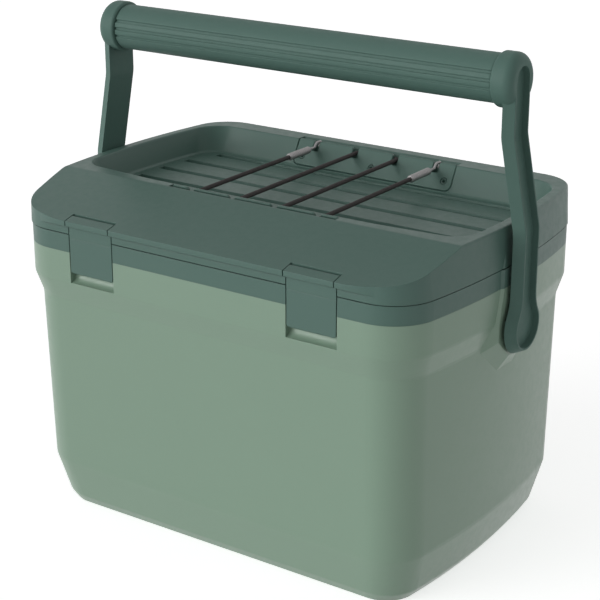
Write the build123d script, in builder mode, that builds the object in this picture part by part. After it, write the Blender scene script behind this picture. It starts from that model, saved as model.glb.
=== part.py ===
"""Hard-sided portable cooler with a swing-up bail handle, a tray lid and captive bungee cord.

Millimetres. +X runs along the long side, -Y is the front (latch side), +Z is up.
The origin is the centre of the base. The cooler stands closed, its handle upright.
"""

from build123d import *
import math
import os

os.makedirs("parts", exist_ok=True)

# ---------------------------------------------------------------- driving dimensions
SIDE_R = 714.0  # plan radius of the bowed end walls
# outer shell, as (height, half length at the bow, half depth, corner radius)
BODY_LEVELS = [
    (0.0, 187.0, 122.0, 28.0),
    (8.0, 193.0, 127.0, 33.0),
    (45.0, 203.0, 136.0, 37.0),
    (205.0, 204.6, 140.6, 37.0),
    (224.0, 210.5, 147.0, 42.0),
    (252.0, 210.5, 147.0, 42.0),
]
BODY_CREASES = [(1, 6.0), (2, 14.0), (3, 9.0), (4, 8.0)]  # level, softening radius
CORE_LEVELS = [
    (4.0, 186.0, 120.0, 28.0),
    (45.0, 198.0, 131.0, 36.0),
    (205.0, 199.0, 135.5, 36.0),
    (258.0, 199.0, 135.5, 36.0),
]
LINER_OUT = [(39.5, 167.5, 106.5, 27.5), (268.0, 174.5, 114.5, 27.5)]
LINER_IN = [(42.0, 165.0, 104.0, 25.0), (268.0, 172.0, 112.0, 25.0)]
COLLAR_BASE, COLLAR_UNDER, COLLAR_TOP = 252.0, 258.0, 268.0
SEAM_GAP = 0.8

# lid
LID_BASE = COLLAR_TOP + SEAM_GAP
RIM_Z = 302.0
RIM_FRONT_Y = -74.0
BEAD_Y, BEAD_TOP, BEAD_LOW, CREASE_Z = -151.4, 281.5, 277.0, 275.0
LID_WALL = 3.6
RIM_BEND_R, RIM_ROUND, TRAY_LIP_R, TRAY_FOOT_R = 8.0, 2.0, 1.5, 3.0
TRAY_FLOOR_Z, TRAY_SKIN = 278.5, 4.6
# tray outline, as (half length, rear y, front y, forward bow, front and rear corner radius)
TRAY_RIM = (198.5, 125.0, -67.0, 10.0, 22.0, 28.0)
TRAY_FLOOR = (191.5, 112.5, -61.0, 9.5, 19.0, 23.0)
PAN_TOP, PLUG_LOW = LID_BASE + 2.2, 256.0
GROOVE_W, GROOVE_D = 8.0, 3.3
GROOVES = [(-29.9, 181.0), (3.0, 184.0), (35.9, 184.0), (68.8, 180.0), (101.7, 166.0)]  # y, half length

# latches and their pockets
LATCH_X, LATCH_W, SIDE_GAP = 112.7, 46.4, 0.9
LATCH_AXIS = (-146.6, 278.4)
LATCH_PIN_R = 1.5
POCKET_Y, POCKET_LIP_Z, POCKET_FLOOR_Z = -140.7, 224.6, 231.0
LATCH_LOW_Z, KNUCKLE_Y, KNUCKLE_BACK_Y = 233.5, -142.2, -139.0

# side pads that carry the handle
PAD_X, PAD_TAPER = 212.0, 60.0
HANDLE_Y, PIVOT_Z = 4.0, 215.6
PAD_OUTLINE = [(21, 290), (21, 250), (27, 222), (27, 207), (8, 190)]
# a pad's face on the lid, as (height, face x, half width): its foot, and where it dies out
LID_PAD = [(268.8, 211.5, 21.0), (284.0, 209.2, 15.0)]

# handle
ARM_LOW_X, ARM_TOP_X, BEND_LOW_Z, BEND_TOP_Z, BEND_R = 215.2, 200.8, 297.0, 373.0, 30.0
ARM_T, ARM_WEB, ARM_IN_HALF, ARM_OUT_HALF, ARM_LIP, ARM_DRAFT = 9.0, 3.6, 16.5, 12.1, 1.4, 6.0
PIVOT_END_R, PIVOT_BLEND_R = 24.5, 30.0
GRIP_Z, GRIP_R, GRIP_HALF, CORE_R, CORE_HALF = 416.8, 20.0, 190.8, 9.0, 202.6
COLLAR_R, COLLAR_ROUND = 22.5, 8.0
GRIP_GROOVES, GROOVE_END = [24.0, 4.0, -16.0], 5.0  # degrees above the front horizontal
STUD_R, STUD_HEAD_R, STUD_X, BOSS_R, WASHER_T = 6.0, 9.0, (185.5, 217.6), 13.0, 1.2

# bungee cord
CORD_R, CORD_Z, CORD_BEND = 2.0, 297.0, 3.6
STRAND_X = [-65.4, -21.8, 21.8, 65.4]
SLOT_HALF, SLOT_DEEP, PLATE_HALF, PLATE_TOP, PLATE_T, CHANNEL = 2.9, 10.4, 85.8, 302.8, 3.2, 4.4
# cord plates, as (y at the top, which way they face, lean in degrees), and height up the wall
REAR_PLATE, FRONT_PLATE = (126.0, -1, 31.0), (-65.9, 1, 12.0)
PLATES = ((REAR_PLATE, 26.0, "rear"), (FRONT_PLATE, 22.2, "front"))
SCREW_X, SCREW_UP_PLATE = (-77.4, 0.0, 77.4), 8.8
CRIMP_Y = (78.0, 115.0)

# rear hinges
HINGE_AXIS = (151.8, 268.4)
HINGE_W, KNUCKLES, KNUCKLE_R, HINGE_PIN_R, LEAF_T = 60.0, 5, 4.3, 2.0, 2.8
SCREW_UP, SCREW_DX, SCREW_LEN = 12.0, 20.0, 9.0


# ---------------------------------------------------------------- shared outlines
def plan(hx, hy, r):
    """The cooler's plan: straight front and rear, bowed ends, round corners."""
    end_x = hx - (SIDE_R - math.sqrt(SIDE_R**2 - hy**2))
    with BuildSketch() as outline:
        with BuildLine():
            Line((-end_x, -hy), (end_x, -hy))
            ThreePointArc((end_x, -hy), (hx, 0), (end_x, hy))
            Line((end_x, hy), (-end_x, hy))
            ThreePointArc((-end_x, hy), (-hx, 0), (-end_x, -hy))
        make_face()
        fillet(outline.vertices(), r)
    return outline.sketch


def stack(levels):
    """Straight-sided loft through the plan at each level."""
    with BuildPart() as solid:
        for z, hx, hy, r in levels:
            with BuildSketch(Plane.XY.offset(z)):
                add(plan(hx, hy, r))
        loft(ruled=True)
    return solid.part


def tray_plan(hx, rear_y, front_y, bow, front_r, rear_r):
    """Tray opening: bowed ends, and a front edge that bows forward between its corners."""
    corner_y = front_y + bow
    front_x, rear_x = (hx - (SIDE_R - math.sqrt(SIDE_R**2 - y**2)) for y in (corner_y, rear_y))
    with BuildSketch() as outline:
        with BuildLine():
            ThreePointArc((-front_x, corner_y), (0, front_y), (front_x, corner_y))
            ThreePointArc((front_x, corner_y), (hx, 0), (rear_x, rear_y))
            Line((rear_x, rear_y), (-rear_x, rear_y))
            ThreePointArc((-rear_x, rear_y), (-hx, 0), (-front_x, corner_y))
        make_face()
        fillet([v for v in outline.vertices() if abs(v.Y - rear_y) < 0.01], rear_r)
        fillet([v for v in outline.vertices() if abs(v.Y - corner_y) < 0.01], front_r)
    return outline.sketch


def slope_z(y):
    """Height of the lid's front slope at a depth y."""
    return BEAD_TOP + (y - BEAD_Y) * (RIM_Z - BEAD_TOP) / (RIM_FRONT_Y - BEAD_Y)


def yz_prism(points, x0, x1):
    """Profile in the YZ plane, extruded from x0 to x1."""
    with BuildPart() as prism:
        with BuildSketch(Plane.YZ.offset(x0)):
            with BuildLine():
                Polyline(*points, close=True)
            make_face()
        extrude(amount=x1 - x0)
    return prism.part


def side_pad(side, z0, z1):
    """The part of one handle pad between two heights, spreading towards the wall."""
    origin = (side * PAD_X, HANDLE_Y, 0)
    with BuildPart() as pad:
        with BuildSketch(Plane(origin=origin, x_dir=(0, side, 0), z_dir=(side, 0, 0))):
            with BuildLine():
                Polyline(*PAD_OUTLINE, *[(-y, z) for y, z in reversed(PAD_OUTLINE)], close=True)
            make_face()
        extrude(amount=-14, taper=-PAD_TAPER)
        with Locations((side * 207, HANDLE_Y, (z0 + z1) / 2)):
            Box(60, 180, z1 - z0, mode=Mode.INTERSECT)
    return pad.part


def lid_pad(side):
    """The top of a handle pad, which dies out upwards in the lid's end wall."""
    spread = math.tan(math.radians(PAD_TAPER))
    with BuildPart() as pad:
        for z, x, half in LID_PAD:
            wall = half + (x - 203) * spread
            with BuildSketch(Plane.XY.offset(z)):
                with BuildLine():
                    Polyline((side * 203, HANDLE_Y - wall), (side * x, HANDLE_Y - half),
                             (side * x, HANDLE_Y + half), (side * 203, HANDLE_Y + wall), close=True)
                make_face()
        loft(ruled=True)
    return pad.part


def plate_plane(y, normal_y, tilt):
    """Frame of a cord plate: origin at its top edge, local y up the tray wall."""
    t = math.radians(tilt)
    return Plane(
        origin=(0, y, PLATE_TOP),
        x_dir=(-normal_y, 0, 0),
        z_dir=(0, normal_y * math.cos(t), math.sin(t)),
    )


def turn_y(y, normal_y, tilt):
    """Depth at which the cord turns, halfway across the channel behind a plate."""
    t = math.radians(tilt)
    behind = (PLATE_T + CHANNEL / 2) / math.cos(t)
    return y + normal_y * ((PLATE_TOP - CORD_Z) * math.tan(t) - behind)


def plate_outline(height, grow=0.0, top=0.0):
    """Cord plate outline with rounded lower corners."""
    half, low = PLATE_HALF + grow, -height - grow
    with BuildSketch() as outline:
        with BuildLine():
            Polyline((-half, top), (half, top), (half, low), (-half, low), close=True)
        make_face()
        fillet([v for v in outline.vertices() if v.Y < -5], 6 + grow)
    return outline.sketch


def screw_spots(height):
    """Where the three screws of a plate stand, in its own frame."""
    return [(x, SCREW_UP_PLATE - height) for x in SCREW_X]


def body_x(side):
    return side * LATCH_X


ax_y, ax_z = HINGE_AXIS
PITCH = HINGE_W / KNUCKLES


def hinge_screw_planes(side, up):
    """Where a leaf's two screws enter it, facing backwards."""
    return [
        Plane(origin=(body_x(side) + dx, 147 + LEAF_T, ax_z + up * SCREW_UP), z_dir=(0, 1, 0))
        for dx in (-SCREW_DX, SCREW_DX)
    ]


def screw_holes(up):
    """The four holes that the hinge screws cut in what carries the leaves."""
    with BuildPart() as holes:
        for side in (-1, 1):
            with Locations(*hinge_screw_planes(side, up)):
                Cylinder(1.8, 2 * SCREW_LEN)
    return holes.part


# ---------------------------------------------------------------- body
liner_block = stack(LINER_OUT)
core_block = stack(CORE_LEVELS)

with BuildPart() as outer_shell:
    add(stack(BODY_LEVELS))
    for level, radius in BODY_CREASES:
        z = BODY_LEVELS[level][0]
        fillet([e for e in outer_shell.edges() if abs(e.center().Z - z) < 0.01], radius)
    for side in (-1, 1):
        add(side_pad(side, 150, COLLAR_BASE))
    add(core_block, mode=Mode.SUBTRACT)
    for side in (-1, 1):
        x0 = body_x(side) - LATCH_W / 2 - SIDE_GAP
        x1 = body_x(side) + LATCH_W / 2 + SIDE_GAP
        with BuildSketch(Plane.YZ.offset(x0)):
            with BuildLine():
                lip, back = (-147, POCKET_LIP_Z), (POCKET_Y, POCKET_FLOOR_Z)
                ThreePointArc(lip, (POCKET_Y - 2.2, POCKET_LIP_Z + 2.0), back)
                Polyline(back, (POCKET_Y, 262), (-160, 262), (-160, POCKET_LIP_Z - 4), lip)
            make_face()
        extrude(amount=x1 - x0, mode=Mode.SUBTRACT)
        with Locations(Plane(origin=(side * 205, HANDLE_Y, PIVOT_Z), z_dir=(side, 0, 0))):
            Cylinder(STUD_R, 40, mode=Mode.SUBTRACT)
outer_shell.part.label = "outer_shell"

with BuildPart() as rim_collar:
    with BuildSketch(Plane.XY.offset(COLLAR_BASE)):
        add(plan(210.5, 147.0, 42.0))
    extrude(amount=COLLAR_TOP - COLLAR_BASE)
    for side in (-1, 1):
        add(side_pad(side, COLLAR_BASE, COLLAR_TOP))
    with BuildSketch(Plane.XY.offset(COLLAR_BASE)):
        add(plan(*CORE_LEVELS[-1][1:]))
    extrude(amount=COLLAR_UNDER - COLLAR_BASE, mode=Mode.SUBTRACT)
    add(liner_block, mode=Mode.SUBTRACT)
    for side in (-1, 1):
        with Locations((body_x(side), (POCKET_Y - 160) / 2, 260)):
            Box(LATCH_W + 2 * SIDE_GAP, 160 + POCKET_Y, 40, mode=Mode.SUBTRACT)
    add(screw_holes(-1), mode=Mode.SUBTRACT)
rim_collar.part.label = "rim_collar"

with BuildPart() as inner_liner:
    add(liner_block)
    add(stack(LINER_IN), mode=Mode.SUBTRACT)
inner_liner.part.label = "inner_liner"

ANCHOR = dict(radius=15, height=13)
with BuildPart() as body_foam:
    add(core_block)
    add(liner_block, mode=Mode.SUBTRACT)
    for side in (-1, 1):
        with Locations(Plane(origin=(side * (198.5 - 6.5), HANDLE_Y, PIVOT_Z), z_dir=(side, 0, 0))):
            Cylinder(**ANCHOR, mode=Mode.SUBTRACT)
            Cylinder(STUD_HEAD_R, 30, mode=Mode.SUBTRACT)
body_foam.part.label = "body_foam"


def catch(side):
    """Catch bar in the pocket behind a latch, rounded where the latch meets it."""
    x0 = body_x(side) - 16
    with BuildPart() as bar:
        with BuildSketch(Plane.YZ.offset(x0)):
            with BuildLine():
                Polyline((POCKET_Y, 247), (POCKET_Y, 241), (POCKET_Y - 0.9, 241))
                RadiusArc((POCKET_Y - 0.9, 241), (POCKET_Y - 0.9, 247), 6)
                Line((POCKET_Y - 0.9, 247), (POCKET_Y, 247))
            make_face()
        extrude(amount=32)
    return bar.part


for side, name in ((-1, "left"), (1, "right")):
    with BuildPart() as latch_catch:
        add(catch(side))
    latch_catch.part.label = f"latch_catch_{name}"
    export_step(latch_catch.part, f"parts/latch_catch_{name}.step")

    with BuildPart() as pivot_anchor:
        with Locations(Plane(origin=(side * (198.5 - 6.5), HANDLE_Y, PIVOT_Z), z_dir=(side, 0, 0))):
            Cylinder(**ANCHOR)
            Cylinder(STUD_R, 13, mode=Mode.SUBTRACT)
    pivot_anchor.part.label = f"pivot_anchor_{name}"
    export_step(pivot_anchor.part, f"parts/pivot_anchor_{name}.step")

    with BuildPart() as pivot_stud:
        with BuildSketch(Plane(origin=(side * STUD_X[0], HANDLE_Y, PIVOT_Z), z_dir=(side, 0, 0))):
            Circle(STUD_R)
        extrude(amount=STUD_X[1] - STUD_X[0])
        with BuildSketch(Plane(origin=(side * STUD_X[0], HANDLE_Y, PIVOT_Z), z_dir=(side, 0, 0))):
            Circle(STUD_HEAD_R)
        extrude(amount=-3.0)
        tip = pivot_stud.edges().sort_by(lambda e: side * e.center().X)[-1]
        chamfer(tip, 0.6)
    pivot_stud.part.label = f"pivot_stud_{name}"
    export_step(pivot_stud.part, f"parts/pivot_stud_{name}.step")

    with BuildPart() as pivot_washer:
        with BuildSketch(Plane(origin=(side * PAD_X, HANDLE_Y, PIVOT_Z), z_dir=(side, 0, 0))):
            Circle(BOSS_R)
            Circle(STUD_R, mode=Mode.SUBTRACT)
        extrude(amount=WASHER_T)
    pivot_washer.part.label = f"pivot_washer_{name}"
    export_step(pivot_washer.part, f"parts/pivot_washer_{name}.step")

# ---------------------------------------------------------------- lid
turn = math.atan2(RIM_Z - BEAD_TOP, RIM_FRONT_Y - BEAD_Y)
reach = RIM_BEND_R * math.tan(turn / 2)
bend_start = (RIM_FRONT_Y - reach * math.cos(turn), RIM_Z - reach * math.sin(turn))
bend_end = (RIM_FRONT_Y + reach, RIM_Z)
with BuildPart() as slope_cut:
    with BuildSketch(Plane.YZ.offset(-240)):
        with BuildLine():
            Line((-175, slope_z(-175)), bend_start)
            TangentArc(bend_start, bend_end, tangent=(math.cos(turn), math.sin(turn)))
            Polyline(bend_end, (bend_end[0], 330), (-175, 330), (-175, slope_z(-175)))
        make_face()
    extrude(amount=480)

with BuildPart() as lid_cavity:
    add(stack([(LID_BASE, 207.0, 147 - LID_WALL, 38.0), (298.2, 204.4, 147 - LID_WALL, 34.0)]))
    add(slope_cut.part.moved(Location((0, 0, -3.8))), mode=Mode.SUBTRACT)
    with BuildSketch(Plane.XY.offset(TRAY_FLOOR_Z - TRAY_SKIN)):
        add(tray_plan(193.6, 114.6, -62.8, 9.5, 21.0, 25.0))
    with BuildSketch(Plane.XY.offset(RIM_Z + 4)):
        add(tray_plan(203.2, 131.0, -71.6, 10.0, 26.0, 32.0))
    loft(ruled=True, mode=Mode.SUBTRACT)
    for side in (-1, 1):
        with Locations((body_x(side), -141, 285)):
            Box(LATCH_W + 16, 20, 40, mode=Mode.SUBTRACT)
    with Locations((0, 124, 290)):
        Box(2 * PLATE_HALF + 12, 28, 36, mode=Mode.SUBTRACT)
    with Locations((0, -75, 290)):
        Box(2 * PLATE_HALF + 12, 30, 36, mode=Mode.SUBTRACT)

with BuildPart() as lid_shell:
    add(stack([(LID_BASE, 210.8, 147.0, 40.0), (RIM_Z, 208.0, 147.0, 36.0)]))
    fillet(lid_shell.faces().sort_by(Axis.Z)[-1].edges(), RIM_ROUND)
    with BuildSketch(Plane.XY.offset(CREASE_Z)):
        with BuildLine():
            Line((-140, BEAD_Y), (140, BEAD_Y))
            TangentArc((140, BEAD_Y), (187.5, -137.6), tangent=(1, 0))
            Polyline((187.5, -137.6), (140, -120), (-140, -120), (-187.5, -137.6))
            TangentArc((-140, BEAD_Y), (-187.5, -137.6), tangent=(-1, 0))
        make_face()
    extrude(amount=30)
    chin = [(-160, CREASE_Z - 1), (-146.8, CREASE_Z - 1), (-147.0, CREASE_Z),
            (BEAD_Y, BEAD_LOW), (-160, BEAD_LOW)]
    add(yz_prism(chin, -200, 200), mode=Mode.SUBTRACT)
    add(slope_cut.part, mode=Mode.SUBTRACT)
    for side in (-1, 1):
        add(lid_pad(side))
    with BuildSketch(Plane.XY.offset(TRAY_FLOOR_Z)):
        add(tray_plan(*TRAY_FLOOR))
    with BuildSketch(Plane.XY.offset(RIM_Z)):
        add(tray_plan(*TRAY_RIM))
    loft(ruled=True, mode=Mode.SUBTRACT)
    for z, radius in ((RIM_Z, TRAY_LIP_R), (TRAY_FLOOR_Z, TRAY_FOOT_R)):
        fillet([
            e for e in lid_shell.edges()
            if abs(e.center().Z - z) < 0.01 and abs(e.center().X) < 200 and -72 < e.center().Y < 127
        ], radius)
    add(screw_holes(1), mode=Mode.SUBTRACT)
    for y, half in GROOVES:
        top, low, edge = TRAY_FLOOR_Z + 0.5, TRAY_FLOOR_Z - GROOVE_D, GROOVE_W / 2
        section = [(y - edge, top), (y - edge + 0.7, low), (y + edge - 0.7, low), (y + edge, top)]
        add(yz_prism(section, -half, half), mode=Mode.SUBTRACT)
    add(lid_cavity.part, mode=Mode.SUBTRACT)
    for side in (-1, 1):
        with Locations((body_x(side), (KNUCKLE_BACK_Y - 175) / 2, 285)):
            Box(LATCH_W + 2 * SIDE_GAP, 175 + KNUCKLE_BACK_Y, 2 * (285 - LID_BASE),
                mode=Mode.SUBTRACT)
        with Locations(Plane(origin=(body_x(side), *LATCH_AXIS), z_dir=(1, 0, 0))):
            Cylinder(LATCH_PIN_R, LATCH_W + 11, mode=Mode.SUBTRACT)
    for place, height, _ in PLATES:
        frame = plate_plane(*place)
        back = frame.offset(-PLATE_T)
        with BuildSketch(back):
            add(plate_outline(height, grow=0.5, top=6.0))
        extrude(amount=20 + PLATE_T, mode=Mode.SUBTRACT)
        with BuildSketch(back):
            with Locations((0, -2.3)):
                Rectangle(2 * PLATE_HALF + 1, 17.4)
        extrude(amount=-CHANNEL, mode=Mode.SUBTRACT)
        with BuildSketch(back):
            with Locations(*screw_spots(height)):
                Circle(1.4)
        extrude(amount=-7, mode=Mode.SUBTRACT)
lid_shell.part.label = "lid_shell"

with BuildPart() as gasket_ring:
    with BuildSketch(Plane.XY.offset(COLLAR_TOP)):
        add(plan(184.0, 124.0, 34.0))
        add(plan(176.0, 116.0, 28.0), mode=Mode.SUBTRACT)
    extrude(amount=SEAM_GAP + 1.0)

with BuildPart() as lid_pan:
    add(lid_cavity.part)
    with Locations((0, 0, PAN_TOP + 50)):
        Box(500, 400, 100, mode=Mode.SUBTRACT)
    with BuildSketch(Plane.XY.offset(PLUG_LOW)):
        add(plan(168.5, 108.5, 22.0))
    extrude(amount=PAN_TOP - PLUG_LOW)
    with BuildSketch(Plane.XY.offset(PLUG_LOW + 2.4)):
        add(plan(166.0, 106.0, 20.0))
    extrude(amount=20, mode=Mode.SUBTRACT)
    add(gasket_ring.part, mode=Mode.SUBTRACT)
lid_pan.part.label = "lid_pan"

with BuildPart() as lid_gasket:
    add(gasket_ring.part)
lid_gasket.part.label = "lid_gasket"

with BuildPart() as lid_foam:
    add(lid_cavity.part)
    with Locations((0, 0, PAN_TOP - 50)):
        Box(500, 400, 100, mode=Mode.SUBTRACT)
    with BuildSketch(Plane.XY.offset(PLUG_LOW + 2.4)):
        add(plan(166.0, 106.0, 20.0))
    extrude(amount=PAN_TOP + 1 - PLUG_LOW - 2.4)
    add(screw_holes(1), mode=Mode.SUBTRACT)
lid_foam.part.label = "lid_foam"

# cord plates with their slots, and the screws that hold them
for place, height, name in PLATES:
    frame = plate_plane(*place)
    with BuildPart() as cord_plate:
        with BuildSketch(frame) as face:
            add(plate_outline(height))
            for x in STRAND_X:
                with Locations((x, 1 - SLOT_DEEP / 2)):
                    Rectangle(2 * SLOT_HALF, SLOT_DEEP + 2, mode=Mode.SUBTRACT)
            tops = [v for v in face.vertices() if abs(v.Y) < 0.01]
            fillet(tops, 2.4)
        extrude(amount=-PLATE_T)
        fillet([e for e in cord_plate.edges() if abs(frame.to_local_coords(e.center()).Z) < 0.01], 1.2)
        with BuildSketch(frame):
            with Locations(*screw_spots(height)):
                Circle(3.3)
        extrude(amount=-1.6, mode=Mode.SUBTRACT)
        with BuildSketch(frame):
            with Locations(*screw_spots(height)):
                Circle(1.6)
        extrude(amount=-PLATE_T, mode=Mode.SUBTRACT)
    cord_plate.part.label = f"cord_plate_{name}"
    export_step(cord_plate.part, f"parts/cord_plate_{name}.step")

    for number, at in enumerate(screw_spots(height), 1):
        with BuildPart() as plate_screw:
            with BuildSketch(frame.offset(-1.6)):
                with Locations(at):
                    Circle(3.1)
            extrude(amount=1.5)
            fillet(plate_screw.edges().sort_by(Axis(frame.origin, frame.z_dir))[-1], 0.6)
            with BuildSketch(frame.offset(-1.6)):
                with Locations(at):
                    Circle(1.4)
            extrude(amount=-(PLATE_T - 1.6 + 6.5))
            with BuildSketch(frame.offset(-0.1)):
                with Locations(at):
                    RegularPolygon(1.45, 6)
            extrude(amount=-1.2, mode=Mode.SUBTRACT)
        plate_screw.part.label = f"plate_screw_{name}_{number}"
        export_step(plate_screw.part, f"parts/plate_screw_{name}_{number}.step")

# cord: four strands across the tray, turned back behind the plates
REAR_Y, FRONT_Y = turn_y(*REAR_PLATE), turn_y(*FRONT_PLATE)
a, b, c, d = STRAND_X
with BuildPart() as bungee_cord:
    with BuildLine() as route:
        FilletPolyline(
            (a, CRIMP_Y[0], CORD_Z), (a, FRONT_Y, CORD_Z), (b, FRONT_Y, CORD_Z),
            (b, REAR_Y, CORD_Z), (c, REAR_Y, CORD_Z), (c, FRONT_Y, CORD_Z),
            (d, FRONT_Y, CORD_Z), (d, CRIMP_Y[0], CORD_Z),
            radius=CORD_BEND,
        )
    with BuildSketch(Plane(origin=(a, CRIMP_Y[0], CORD_Z), z_dir=(0, -1, 0))):
        Circle(CORD_R)
    sweep()
bungee_cord.part.label = "bungee_cord"
cord_length = sum(e.length for e in route.edges())
print("cord length", round(cord_length, 1), "bend radius", CORD_BEND,
      "volume ratio", round(bungee_cord.part.volume / (math.pi * CORD_R**2 * cord_length), 4))

for x, name in ((STRAND_X[0], "left"), (STRAND_X[-1], "right")):
    y0, y1 = CRIMP_Y
    bar_z = 300.9
    bar_y = REAR_Y + (bar_z - CORD_Z) * math.tan(math.radians(REAR_PLATE[2]))
    with BuildPart() as cord_end:
        with BuildSketch(Plane(origin=(x, y0, CORD_Z), x_dir=(1, 0, 0), z_dir=(0, 0, 1))):
            with BuildLine():
                Polyline((0, 0), (3.2, 0), (3.5, 0.6), (3.3, y1 - y0 - 1), (2.5, y1 - y0),
                         (1.4, y1 - y0 + 3.0), (0, y1 - y0 + 3.0), close=True)
            make_face()
        revolve(axis=Axis((x, y0, CORD_Z), (0, 1, 0)))
        with BuildLine() as wire:
            FilletPolyline(
                (x, y1 + 2, CORD_Z), (x, y1 + 6, CORD_Z), (x, y1 + 9, bar_z), (x, bar_y, bar_z),
                radius=1.6,
            )
        with BuildSketch(Plane(origin=(x, y1 + 2, CORD_Z), z_dir=(0, 1, 0))):
            Circle(1.3)
        sweep(path=wire.line)
        with Locations(Plane(origin=(x, bar_y, bar_z), z_dir=(1, 0, 0))):
            Cylinder(1.5, 12)
    cord_end.part.label = f"cord_end_{name}"
    export_step(cord_end.part, f"parts/cord_end_{name}.step")

# ---------------------------------------------------------------- latches
for side, name in ((-1, "left"), (1, "right")):
    x0 = body_x(side) - LATCH_W / 2
    with BuildPart() as latch:
        side_view = [(BEAD_Y, BEAD_TOP), (KNUCKLE_Y, slope_z(KNUCKLE_Y)), (KNUCKLE_Y, 275.5), (-141, 272),
                     (-141, LATCH_LOW_Z), (-146, LATCH_LOW_Z), (-147, LATCH_LOW_Z + 1),
                     (-147, 265.0), (-146.7, 265.3), (-147, 265.6), (-147, CREASE_Z), (BEAD_Y, BEAD_LOW)]
        add(yz_prism(side_view, x0, x0 + LATCH_W))
        corners = [
            e for e in latch.edges().filter_by(Axis.Y)
            if e.center().Z < LATCH_LOW_Z + 0.5
        ]
        fillet(corners, 3.0)
        with Locations(Plane(origin=(body_x(side), *LATCH_AXIS), z_dir=(1, 0, 0))):
            Cylinder(LATCH_PIN_R + 0.06, LATCH_W + 2, mode=Mode.SUBTRACT)
        with Locations((body_x(side), -141, 241)):
            Box(33, 4.6, 18, mode=Mode.SUBTRACT)
    latch.part.label = f"latch_{name}"
    export_step(latch.part, f"parts/latch_{name}.step")

    with BuildPart() as latch_pin:
        with Locations(Plane(origin=(body_x(side), *LATCH_AXIS), z_dir=(1, 0, 0))):
            Cylinder(LATCH_PIN_R, LATCH_W + 11)
    latch_pin.part.label = f"latch_pin_{name}"
    export_step(latch_pin.part, f"parts/latch_pin_{name}.step")

# ---------------------------------------------------------------- rear hinges

def leaf(side, is_lid):
    """One hinge leaf on the rear wall, with its own knuckles round the pin."""
    up = 1 if is_lid else -1
    own = range(1, KNUCKLES, 2) if is_lid else range(0, KNUCKLES, 2)
    x0 = body_x(side) - HINGE_W / 2
    edge, far = ax_z + up * (KNUCKLE_R + 0.4), ax_z + up * 25
    with BuildPart() as piece:
        with Locations((body_x(side), 147 + LEAF_T / 2, (edge + far) / 2)):
            Box(HINGE_W, LEAF_T, abs(far - edge))
        tips = [e for e in piece.edges().filter_by(Axis.Y) if abs(e.center().Z - far) < 0.1]
        fillet(tips, 4)
        for k in own:
            xk = x0 + k * PITCH + 0.3
            with Locations(Plane(origin=(xk + PITCH / 2 - 0.3, ax_y, ax_z), z_dir=(1, 0, 0))):
                Cylinder(KNUCKLE_R, PITCH - 0.6)
            web = [(147, edge), (147 + LEAF_T, edge), (ax_y, ax_z + up * 0.5),
                   (147.3, ax_z + up * 0.5)]
            add(yz_prism(web, xk, xk + PITCH - 0.6))
        with Locations(Plane(origin=(body_x(side), ax_y, ax_z), z_dir=(1, 0, 0))):
            Cylinder(HINGE_PIN_R + (0.05 if is_lid else 0), HINGE_W + 4, mode=Mode.SUBTRACT)
        with Locations(*hinge_screw_planes(side, up)):
            CounterSinkHole(2.0, 3.8, counter_sink_angle=90)
    return piece.part


for side, name in ((-1, "left"), (1, "right")):
    with BuildPart() as hinge_lid_leaf:
        add(leaf(side, True))
    hinge_lid_leaf.part.label = f"hinge_lid_leaf_{name}"
    export_step(hinge_lid_leaf.part, f"parts/hinge_lid_leaf_{name}.step")
    with BuildPart() as hinge_body_leaf:
        add(leaf(side, False))
    hinge_body_leaf.part.label = f"hinge_body_leaf_{name}"
    export_step(hinge_body_leaf.part, f"parts/hinge_body_leaf_{name}.step")
    for up, carrier in ((1, "lid"), (-1, "body")):
        for number, at in enumerate(hinge_screw_planes(side, up), 1):
            with BuildPart() as hinge_screw:
                with BuildSketch(at.offset(-0.2)):
                    Circle(3.5)
                extrude(amount=-1.6, taper=45)
                with BuildSketch(at.offset(-0.2)):
                    Circle(1.8)
                extrude(amount=-(SCREW_LEN - 0.2))
                with BuildSketch(at.offset(-0.2)):
                    Rectangle(4.2, 0.9)
                    Rectangle(0.9, 4.2)
                extrude(amount=-0.9, mode=Mode.SUBTRACT)
            hinge_screw.part.label = f"hinge_screw_{carrier}_{name}_{number}"
            export_step(hinge_screw.part, f"parts/hinge_screw_{carrier}_{name}_{number}.step")
    with BuildPart() as hinge_pin:
        with Locations(Plane(origin=(body_x(side), ax_y, ax_z), z_dir=(1, 0, 0))):
            Cylinder(HINGE_PIN_R, HINGE_W + 1.6)
    hinge_pin.part.label = f"hinge_pin_{name}"
    export_step(hinge_pin.part, f"parts/hinge_pin_{name}.step")


# ---------------------------------------------------------------- handle
def arm_sweep(section, top_z):
    """Section at the pivot, as (step out from the inner face, half width), carried up the arm."""
    with BuildPart() as bar:
        with BuildLine() as spine:
            FilletPolyline(
                (ARM_LOW_X, HANDLE_Y, PIVOT_Z), (ARM_LOW_X, HANDLE_Y, BEND_LOW_Z),
                (ARM_TOP_X, HANDLE_Y, BEND_TOP_Z), (ARM_TOP_X, HANDLE_Y, top_z),
                radius=BEND_R,
            )
        with BuildSketch(Plane.XY.offset(PIVOT_Z)):
            with BuildLine():
                Polyline(*[(ARM_LOW_X + out, HANDLE_Y - half) for out, half in section],
                         *[(ARM_LOW_X + out, HANDLE_Y + half) for out, half in reversed(section)],
                         close=True)
            make_face()
        sweep(path=spine.line)
    return bar.part


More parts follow.
